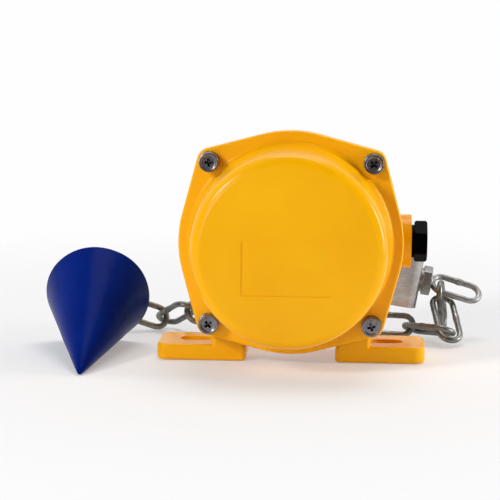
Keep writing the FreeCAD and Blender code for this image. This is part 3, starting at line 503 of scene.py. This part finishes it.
def wire_loop(name, half_l_mm, weld_at_mm, weld_swell):
    run = (half_l_mm - LOOP_HALF_W_MM) * MM
    half_w = LOOP_HALF_W_MM * MM
    step = 2 * run / BAR_STEPS
    bpy.ops.object.select_all(action="DESELECT")
    bpy.ops.mesh.primitive_circle_add(
        vertices=WIRE_SIDES, radius=(WIRE_MM - ZINC_LUMP_MM) / 2 * MM, fill_type="NOTHING",
        location=(run, -half_w, 0), rotation=(0, math.pi / 2, 0))
    loop = bpy.context.object
    loop.name = name
    bpy.ops.object.transform_apply(location=True, rotation=True, scale=True)
    bpy.ops.object.mode_set(mode="EDIT")
    bpy.ops.mesh.select_all(action="SELECT")
    for way in (1, -1):
        bpy.ops.mesh.spin(steps=END_STEPS, angle=math.pi, center=(way * run, 0, 0), axis=(0, 0, -1))
        for _ in range(BAR_STEPS):
            bpy.ops.mesh.extrude_region_move(TRANSFORM_OT_translate={"value": (-way * step, 0, 0)})
    bpy.ops.mesh.select_all(action="SELECT")
    bpy.ops.mesh.remove_doubles(threshold=JOIN_MM * MM)
    bpy.ops.mesh.normals_make_consistent(inside=False)
    pick(loop, "VERT", lambda v: v.co.y > 0 and abs(v.co.x - weld_at_mm * MM) < WELD_HALF_MM * MM)
    bpy.ops.transform.resize(value=(1.0, weld_swell, weld_swell), center_override=(0, half_w, 0))
    bpy.ops.object.mode_set(mode="OBJECT")
    apply_modifier(loop, "SUBSURF", levels=1, render_levels=1)
    print(name, len(loop.data.polygons), "faces", [round(v / MM, 2) for v in loop.dimensions])
    return loop


# %% [markdown]
# A cloud texture pushes the skin in and out.  It stands for lumps of zinc on the chain, for the
# hand-rolled sheet of the cone and for the forging and the weld of the eye bolt.

# %% One link as the pattern
LINK_HALF_L_MM = 15.75
LINK_WELD_SWELL = 1.13
ZINC_GRIT_MM = 3.0


def roughen(piece, size_mm, depth_mm):
    grit = bpy.data.textures.new(piece.name + "_grit", "CLOUDS")
    grit.noise_scale = size_mm * MM
    apply_modifier(piece, "DISPLACE", texture=grit, texture_coords="LOCAL", strength=depth_mm * MM)


link = wire_loop("link_pattern", LINK_HALF_L_MM, 0.0, LINK_WELD_SWELL)
roughen(link, ZINC_GRIT_MM, ZINC_LUMP_MM)
bpy.ops.object.shade_smooth()

# %% [markdown]
# The copies need the measured links' places.  The long, wide and thin ways of a link are the main
# axes of its points, so they are read from each measured mesh, and every second copy is turned
# end for end to put its weld on the other bar.

# %% Eleven links


def main_axes(node):
    points = np.array([v.co for v in nodes[node].data.vertices])
    ways = np.linalg.eigh(np.cov((points - points.mean(0)).T))[1]
    long_way = Vector(ways[:, 2])
    wide_way = Vector(ways[:, 1])
    thin_way = long_way.cross(wide_way)
    centre = Vector((0, 0, 0))
    for way in (long_way, wide_way, thin_way):
        reach = points @ np.array(way)
        centre += way * float(reach.min() + reach.max()) / 2.0
    return centre, long_way, wide_way, thin_way


links = sorted(node for node in nodes if node.startswith("chain_link_"))
for k, node in enumerate(links):
    centre, long_way, wide_way, thin_way = main_axes(node)
    end = 1 if k % 2 else -1
    piece = bpy.data.objects.new("welded_" + node, link.data.copy())
    bpy.context.scene.collection.objects.link(piece)
    lie = turned(long_way * end, wide_way * end, thin_way)
    piece.data.transform(Matrix.Translation(centre) @ lie)
    take_over(piece, node)
bpy.data.objects.remove(link)

# %% [markdown]
# ## Cone
# The cone is rolled from sheet and welded along one line, with the seam dressed almost flush.  A
# cone primitive has neither a wall nor a lip, so half of the section is drawn, with its rounded
# tip and its lip, and spun round the axis.  A point of the section is its radius and its height
# over the sharp tip that the slope would have, and the lip's radii count inwards from the rim.

# %% Section of the cone, spun
CONE_R_MM = 27.8
CONE_H_MM = 90.5
CONE_WALL_MM = 1.5
CONE_STEPS = 120
TIP_MM = [(0.0, 4.05), (0.75, 4.12), (1.25, 4.5)]
SLOPE_MM = (6.0, 89.6)
SLOPE_POINTS = 18
LIP_MM = [(0.12, 90.15), (0.45, 90.45), (1.1, 90.48)]
INNER_HEIGHTS_MM = (90.1, 88.0, 60.0, 30.0, 6.5)
INNER_TIP_MM = (0.0, 5.3)

slope = math.atan2(CONE_R_MM, CONE_H_MM)
grow = math.tan(slope)
skin = CONE_WALL_MM / math.sin(slope)
section = list(TIP_MM)
section += [(h * grow, h) for h in np.linspace(*SLOPE_MM, SLOPE_POINTS)]
section += [(CONE_R_MM - inward, h) for inward, h in LIP_MM]
section += [((h - skin) * grow, h) for h in INNER_HEIGHTS_MM]
section.append(INNER_TIP_MM)
bpy.ops.object.select_all(action="DESELECT")
bpy.ops.mesh.primitive_circle_add(vertices=len(section), radius=MM, fill_type="NOTHING")
cone = bpy.context.object
cone.name = "cone_sheet"
for v, (r, h) in zip(cone.data.vertices, section):
    v.co = (r * MM, 0.0, h * MM)
bpy.ops.object.mode_set(mode="EDIT")
bpy.ops.mesh.select_all(action="SELECT")
bpy.ops.mesh.spin(steps=CONE_STEPS, angle=2 * math.pi, center=(0, 0, 0), axis=(0, 0, 1))
bpy.ops.mesh.select_all(action="SELECT")
bpy.ops.mesh.remove_doubles(threshold=JOIN_MM * MM)
bpy.ops.mesh.normals_make_consistent(inside=False)
bpy.ops.object.mode_set(mode="OBJECT")
print("cone section:", len(section), "points,", len(cone.data.polygons), "faces")

# %% [markdown]
# One line of points on the outside is lifted for the seam, and a slow unevenness keeps the
# highlight alive, as on sheet that was rolled by hand.

# %% Seam of the cone
SEAM_STEP = 78
SEAM_HALF = 0.02
SEAM_MM = (8.0, 89.0)
SEAM_LIFT_MM = 0.22
ROLLED_MM = 26.0
ROLLED_DEEP_MM = 0.5

seam = 2 * math.pi * SEAM_STEP / CONE_STEPS - math.pi


def on_seam(v):
    if not SEAM_MM[0] * MM < v.co.z < SEAM_MM[1] * MM:
        return False
    outside = math.hypot(v.co.x, v.co.y) > (v.co.z - skin * MM / 2) * grow
    return outside and abs(math.atan2(v.co.y, v.co.x) - seam) < SEAM_HALF


pick(cone, "VERT", on_seam)
print("seam points:", len([v for v in cone.data.vertices if v.select]))
bpy.ops.transform.shrink_fatten(value=SEAM_LIFT_MM * MM)
bpy.ops.object.mode_set(mode="OBJECT")
roughen(cone, ROLLED_MM, ROLLED_DEEP_MM)

# %% [markdown]
# The brush streaks of its paint need a map that goes round and up, so every corner of every face
# is given its turn and its height.  A face that crosses the end of the turn counts on past it.

# %% Map of the cone
HALF_TURN = 0.5

lanes = cone.data.uv_layers.new(name="lanes")
points = cone.data.vertices
for face in cone.data.polygons:
    turns = [math.atan2(points[i].co.y, points[i].co.x) / (2 * math.pi) for i in face.vertices]
    crossing = max(turns) - min(turns) > HALF_TURN
    for corner, i, turn in zip(face.loop_indices, face.vertices, turns):
        past = 1.0 if crossing and turn < 0 else 0.0
        lanes.data[corner].uv = (turn + past, points[i].co.z / (CONE_H_MM * MM))
print("map of the cone:", len(lanes.data), "corners")

# %% [markdown]
# The cone lies on its side, with one line of its skin on the ground, so its axis rises by half of
# its opening angle.  The closing plate in its mouth shows where the axis ends.

# %% Cone in its place
CONE_TURN = math.radians(91.2)
CONE_SMOOTH = math.radians(50.0)
PLATE_T_MM = 3.0

axis = Vector((
    math.cos(CONE_TURN) * math.cos(slope),
    math.sin(CONE_TURN) * math.cos(slope),
    math.sin(slope),
))
side = Vector((math.sin(CONE_TURN), -math.cos(CONE_TURN), 0.0))
plate_low, plate_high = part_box("cone_base")
tip = (plate_low + plate_high) / 2 - axis * (CONE_H_MM - PLATE_T_MM / 2) * MM
cone.data.transform(Matrix.Translation(tip) @ turned(side, axis.cross(side), axis))
only(cone)
bpy.ops.object.shade_smooth_by_angle(angle=CONE_SMOOTH)
take_over(cone, "cone")
softened("cone_base", "cone_mouth_plate", width_mm=0.4)

# %% [markdown]
# ## Cover screws
# Cheese heads of bright zinc plate with a raised rim and a cross recess, each left at the angle
# where its driver stopped.  Bump could only hint at the recess, so one screw is turned from a
# cylinder: the middle is dished, the shank is drawn out of the back, and the rim is bevelled.

# %% One screw
HEAD_R_MM = 5.0
HEAD_T_MM = 4.4
HEAD_SIDES = 64
HEAD_FRONT_MM = -32.0
SHANK_R_MM = 2.95
SHANK_END_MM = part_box("cover_screws")[1].y / MM
RIM_WIDE_MM = 1.15
DISH_WALL_MM = 0.35
DISH_DEEP_MM = 0.45
DISH_RING_MM = 0.8
RIM_ROUND_MM = 0.55
RIM_SHARP = math.radians(50.0)
FACING = 0.9

shank_mm = SHANK_END_MM - HEAD_FRONT_MM - HEAD_T_MM
bpy.ops.object.select_all(action="DESELECT")
bpy.ops.mesh.primitive_cylinder_add(
    vertices=HEAD_SIDES, radius=HEAD_R_MM * MM, depth=HEAD_T_MM * MM,
    location=(0, 0, HEAD_T_MM / 2 * MM))
screw = bpy.context.object
screw.name = "screw_pattern"
bpy.ops.object.transform_apply(location=True)
pick(screw, "FACE", lambda face: face.normal.z > FACING)
bpy.ops.mesh.inset(thickness=RIM_WIDE_MM * MM, depth=0)
bpy.ops.mesh.inset(thickness=DISH_WALL_MM * MM, depth=-DISH_DEEP_MM * MM)
bpy.ops.mesh.inset(thickness=DISH_RING_MM * MM, depth=0)
pick(screw, "FACE", lambda face: face.normal.z < -FACING)
bpy.ops.mesh.inset(thickness=(HEAD_R_MM - SHANK_R_MM) * MM, depth=0)
bpy.ops.mesh.extrude_region_move(TRANSFORM_OT_translate={"value": (0, 0, -shank_mm * MM)})
bpy.ops.object.mode_set(mode="OBJECT")
apply_modifier(screw, "BEVEL", width=RIM_ROUND_MM * MM, segments=3,
               limit_method="ANGLE", angle_limit=RIM_SHARP)
print("screw:", len(screw.data.polygons), "faces,", round(shank_mm, 2), "mm of shank")

# %% [markdown]
# The driver's cross is two tapered blades.  Each starts as a cube, its deep face is made narrower,
# as the point of a driver is, and it is cut out of the head.

# %% Cross recess
BLADE_MM = (5.6, 2.1, 5.4)
BLADE_MID_MM = 0.9
BLADE_DEEP_MM = 2.0
POINT_LONG = 0.4
POINT_THIN = 0.12
SCREW_SMOOTH = math.radians(35.0)

blades = []
for k, point in enumerate(((POINT_LONG, POINT_THIN, 1.0), (POINT_THIN, POINT_LONG, 1.0))):
    bpy.ops.object.select_all(action="DESELECT")
    bpy.ops.mesh.primitive_cube_add(size=1.0, location=(0, 0, (HEAD_T_MM - BLADE_MID_MM) * MM))
    blade = bpy.context.object
    blade.scale = [v * MM for v in BLADE_MM]
    blade.rotation_euler = (0, 0, math.pi / 2 * k)
    bpy.ops.object.transform_apply(location=True, rotation=True, scale=True)
    pick(blade, "VERT", lambda v: v.co.z < (HEAD_T_MM - BLADE_DEEP_MM) * MM)
    bpy.ops.transform.resize(value=point, center_override=(0, 0, 0))
    bpy.ops.object.mode_set(mode="OBJECT")
    blades.append(blade)
for blade in blades:
    cut_out(screw, blade)
bpy.ops.object.shade_smooth_by_angle(angle=SCREW_SMOOTH)
print("screw with its cross:", len(screw.data.polygons), "faces")

# %% [markdown]
# Each of the four screw holes gets a copy, turned round its own axis.  The copies are joined,
# because the measured screws are one piece too.

# %% Four copies
SCREW_PITCH_MM = 82.505
COVER_AXIS_MM = 63.0
SCREW_TURNS = {(-1, 1): 2.0, (1, 1): 47.0, (-1, -1): 38.0, (1, -1): 14.0}

face_front = Matrix.Rotation(math.pi / 2, 4, "X")
heads = []
for (sx, sz), degrees in SCREW_TURNS.items():
    piece = bpy.data.objects.new("cover_screw", screw.data.copy())
    bpy.context.scene.collection.objects.link(piece)
    at = Vector((
        sx * SCREW_PITCH_MM / 2,
        HEAD_FRONT_MM + HEAD_T_MM,
        COVER_AXIS_MM + sz * SCREW_PITCH_MM / 2,
    )) * MM
    stopped = Matrix.Rotation(math.radians(degrees), 4, "Z")
    piece.data.transform(Matrix.Translation(at) @ face_front @ stopped)
    heads.append(piece)
bpy.data.objects.remove(screw)
only(heads[0])
for piece in heads:
    piece.select_set(True)
bpy.ops.object.join()
heads[0].name = "cross_recess_screws"
take_over(heads[0], "cover_screws")
softened("cover_spring_washers", "split_washers", width_mm=0.22)

# %% [markdown]
# ## Eye bolt
# A hexagon bolt with a loop of the chain's own wire welded on its head.  The loop is made like a
# link, with its own weld a little fatter.  It sags below the line of the arm and is rolled round
# that line, so it is placed by a row of turns and shifts that starts at the arm's shaft.

# %% Loop of the eye
EYE_HALF_L_MM = 13.25
EYE_WELD_AT_MM = 1.0
EYE_WELD_SWELL = 1.2
EYE_Y_MM = 57.0
SHAFT_Z_MM = 42.5
EYE_HEAD_FROM_MM = 70.1
EYE_HEAD_T_MM = 4.8
EYE_SINK_MM = 1.0
EYE_SAG = math.radians(7.6)
EYE_ROLL = math.radians(37.0)

head_to_mm = EYE_HEAD_FROM_MM + EYE_HEAD_T_MM
middle_mm = EYE_HALF_L_MM + WIRE_MM / 2 - EYE_SINK_MM
at_shaft = Matrix.Translation(Vector((0, EYE_Y_MM, SHAFT_Z_MM)) * MM)
hang = at_shaft @ Matrix.Rotation(ARM_DROOP, 4, "Y")
on_head = hang @ Matrix.Translation((head_to_mm * MM, 0, 0))
roll = Matrix.Rotation(EYE_ROLL, 4, "X")
sag = Matrix.Rotation(EYE_SAG, 4, "Y")
eye = wire_loop("welded_eye_bolt", EYE_HALF_L_MM, EYE_WELD_AT_MM, EYE_WELD_SWELL)
eye.data.transform(on_head @ sag @ Matrix.Translation((middle_mm * MM, 0, 0)) @ roll)

# %% [markdown]
# The head is a cylinder with six sides and bevelled edges, and the shank is one with forty-eight.
# Both lie along the arm.

# %% Head and shank
EYE_ACROSS_MM = 14.0
EYE_HEAD_TURN = math.radians(76.0)
EYE_HEAD_ROUND_MM = 0.45
BOLT_R_MM = 3.95
BOLT_END_MM = 54.5
BOLT_SIDES = 48


def rod(name, sides, radius_mm, from_mm, to_mm, turn=0.0):
    bpy.ops.object.select_all(action="DESELECT")
    bpy.ops.mesh.primitive_cylinder_add(
        vertices=sides, radius=radius_mm * MM, depth=(to_mm - from_mm) * MM)
    piece = bpy.context.object
    piece.name = name
    lie = Matrix.Translation(((from_mm + to_mm) / 2 * MM, 0, 0)) @ Matrix.Rotation(turn, 4, "X")
    piece.data.transform(hang @ lie @ Matrix.Rotation(math.pi / 2, 4, "Y"))
    print(name, round(to_mm - from_mm, 2), "mm long")
    return piece


corner_r_mm = EYE_ACROSS_MM / math.sqrt(3.0)
head = rod("eye_head", 6, corner_r_mm, EYE_HEAD_FROM_MM, head_to_mm, EYE_HEAD_TURN)
apply_modifier(head, "BEVEL", width=EYE_HEAD_ROUND_MM * MM, segments=3)
shank = rod("eye_shank", BOLT_SIDES, BOLT_R_MM, BOLT_END_MM, EYE_HEAD_FROM_MM)

# %% [markdown]
# The weld is a lumpy bead round the foot of the loop: a ball that is pressed flat on the head and
# roughened.  Then all of it becomes one piece, and a shallow grit makes the forging uneven.

# %% Weld bead and the whole bolt
BEAD_R_MM = 2.9
BEAD_PRESSED = (0.5, 1.25, 0.9, 1.0)
BEAD_GRIT_MM = 1.2
BEAD_LUMP_MM = 0.5
FORGED_MM = 2.6
FORGED_DEEP_MM = 0.16
BOLT_SMOOTH = math.radians(38.0)

bpy.ops.object.select_all(action="DESELECT")
bpy.ops.mesh.primitive_uv_sphere_add(segments=32, ring_count=20, radius=BEAD_R_MM * MM)
bead = bpy.context.object
bead.data.transform(on_head @ roll @ Matrix.Diagonal(BEAD_PRESSED))
roughen(bead, BEAD_GRIT_MM, BEAD_LUMP_MM)
only(eye)
for piece in (head, shank, bead):
    piece.select_set(True)
bpy.ops.object.join()
roughen(eye, FORGED_MM, FORGED_DEEP_MM)
bpy.ops.object.shade_smooth_by_angle(angle=BOLT_SMOOTH)
take_over(eye, "eye_bolt")

# %% [markdown]
# ## Stage
# The object stands on a white sheet that runs out of the picture.  Near the object the sheet is
# lit and holds the shadow, and further out it is simply white to the camera.  A sheet that glows
# all over would light the object from below, so the glow is kept from the rays that light it, and
# reflections see it dim towards the front, as in a studio where the camera's side is dark.  The
# distances of stage and light are in metres.

# %% Floor
FLOOR_WIDE = 60.0
FLOOR_DROP_MM = 0.2
LIT_WITHIN = 0.10
WHITE_FROM = 0.50
NEAR_GLOW = 0.3
DARK_AT_Y = -0.35
BRIGHT_AT_Y = -0.05
FRONT_GLOW = 0.12

bpy.ops.object.select_all(action="DESELECT")
bpy.ops.mesh.primitive_plane_add(size=FLOOR_WIDE, location=(0, 0, -FLOOR_DROP_MM * MM))
floor = bpy.context.object
floor.name = "floor"
sheet, shader, place = new_finish(
    "white_sheet", Base_Color=linear("#F4F4F5"), Roughness=0.9, Specular_IOR_Level=0.0)
reach = add(sheet, "ShaderNodeVectorMath", {0: place}, operation="LENGTH")
away = add(sheet, "ShaderNodeMapRange", {
    "Value": reach.outputs["Value"], "From Min": LIT_WITHIN, "From Max": WHITE_FROM,
    "To Min": NEAR_GLOW}, interpolation_type="SMOOTHSTEP")
ray = add(sheet, "ShaderNodeLightPath")
direct = add(sheet, "ShaderNodeMath", {
    0: ray.outputs["Is Camera Ray"], 1: ray.outputs["Is Glossy Ray"]}, operation="ADD")
seen = add(sheet, "ShaderNodeMath", {
    0: direct.outputs["Value"], 1: ray.outputs["Is Transmission Ray"]},
    operation="ADD", use_clamp=True)
amount = add(sheet, "ShaderNodeMath", {
    0: away.outputs["Result"], 1: seen.outputs["Value"]}, operation="MULTIPLY")
spot = add(sheet, "ShaderNodeSeparateXYZ", {"Vector": place})
front = add(sheet, "ShaderNodeMapRange", {
    "Value": spot.outputs["Y"], "From Min": DARK_AT_Y, "From Max": BRIGHT_AT_Y,
    "To Min": FRONT_GLOW})
white = add(sheet, "ShaderNodeMix", {
    "Factor": ray.outputs["Is Camera Ray"], "A": front.outputs["Result"], "B": 1.0})
glow = add(sheet, "ShaderNodeEmission", {
    "Color": linear("#FEFEFE"), "Strength": white.outputs["Result"]})
blend = add(sheet, "ShaderNodeMixShader", {
    0: amount.outputs["Value"], 1: shader.outputs["BSDF"], 2: glow.outputs["Emission"]})
join(sheet, blend.outputs["Shader"], sheet.node_tree.nodes["Material Output"].inputs["Surface"])
floor.data.materials.append(sheet)
print(sheet.name, len(sheet.node_tree.nodes), "nodes")

# %% [markdown]
# ## Light
# The surroundings are bright behind the object and dim behind the camera, which keeps the cover's
# face and the metal from turning milky.  A plain white world would be simpler, and it would wash
# both out.  The camera itself sees white.

# %% Surroundings
DIFFUSE_Y = (-0.1, 0.7)
DIFFUSE_LEVEL = (0.06, 0.95)
GLOSSY_Y = (-0.6, 0.1)
GLOSSY_LEVEL = (0.12, 0.9)

world = bpy.data.worlds.new("studio")
bpy.context.scene.world = world
world.use_nodes = True
backdrop = world.node_tree.nodes["Background"]
sky = add(world, "ShaderNodeTexCoord").outputs["Generated"]
way = add(world, "ShaderNodeSeparateXYZ", {"Vector": sky})
lit = add(world, "ShaderNodeMapRange", {
    "Value": way.outputs["Y"], "From Min": DIFFUSE_Y[0], "From Max": DIFFUSE_Y[1],
    "To Min": DIFFUSE_LEVEL[0], "To Max": DIFFUSE_LEVEL[1]}, interpolation_type="SMOOTHSTEP")
mirror = add(world, "ShaderNodeMapRange", {
    "Value": way.outputs["Y"], "From Min": GLOSSY_Y[0], "From Max": GLOSSY_Y[1],
    "To Min": GLOSSY_LEVEL[0], "To Max": GLOSSY_LEVEL[1]})
ray = add(world, "ShaderNodeLightPath")
met = add(world, "ShaderNodeMix", {
    "Factor": ray.outputs["Is Glossy Ray"], "A": lit.outputs["Result"],
    "B": mirror.outputs["Result"]})
strength = add(world, "ShaderNodeMix", {
    "Factor": ray.outputs["Is Camera Ray"], "A": met.outputs["Result"], "B": 1.0})
backdrop.inputs["Color"].default_value = (1.0, 1.0, 1.0, 1.0)
join(world, strength.outputs["Result"], backdrop.inputs["Strength"])
print(world.name, len(world.node_tree.nodes), "nodes")

# %% [markdown]
# A small hard key stands high at the left front and draws the shadows.  A low fill beside it
# lifts the face, a tall strip at the right edges the housing and the arm, and a wide panel
# overhead lights the tops and softens the ground.

# %% Lamps
# name, place, aim, width, height, watts
LAMPS = [
    ("soft_box_left", (-1.00, -1.00, 0.76), (0.0, -0.02, 0.06), 0.28, 0.28, 11.0),
    ("strip_right", (1.00, -0.08, 0.26), (0.02, 0.0, 0.06), 0.18, 0.50, 6.5),
    ("front_fill", (-0.55, -1.20, 0.18), (0.0, 0.0, 0.05), 0.40, 0.30, 2.8),
    ("top_panel", (0.1, 0.30, 1.30), (0.0, 0.0, 0.05), 0.80, 0.50, 6.0),
]

for name, at, aim, wide, high, watts in LAMPS:
    bpy.ops.object.light_add(type="AREA", location=at)
    lamp = bpy.context.object
    lamp.name = name
    lamp.rotation_euler = (Vector(aim) - Vector(at)).to_track_quat("-Z", "Y").to_euler()
    lamp.data.shape = "RECTANGLE"
    lamp.data.size = wide
    lamp.data.size_y = high
    lamp.data.energy = watts
print("lamps:", [row[0] for row in LAMPS])
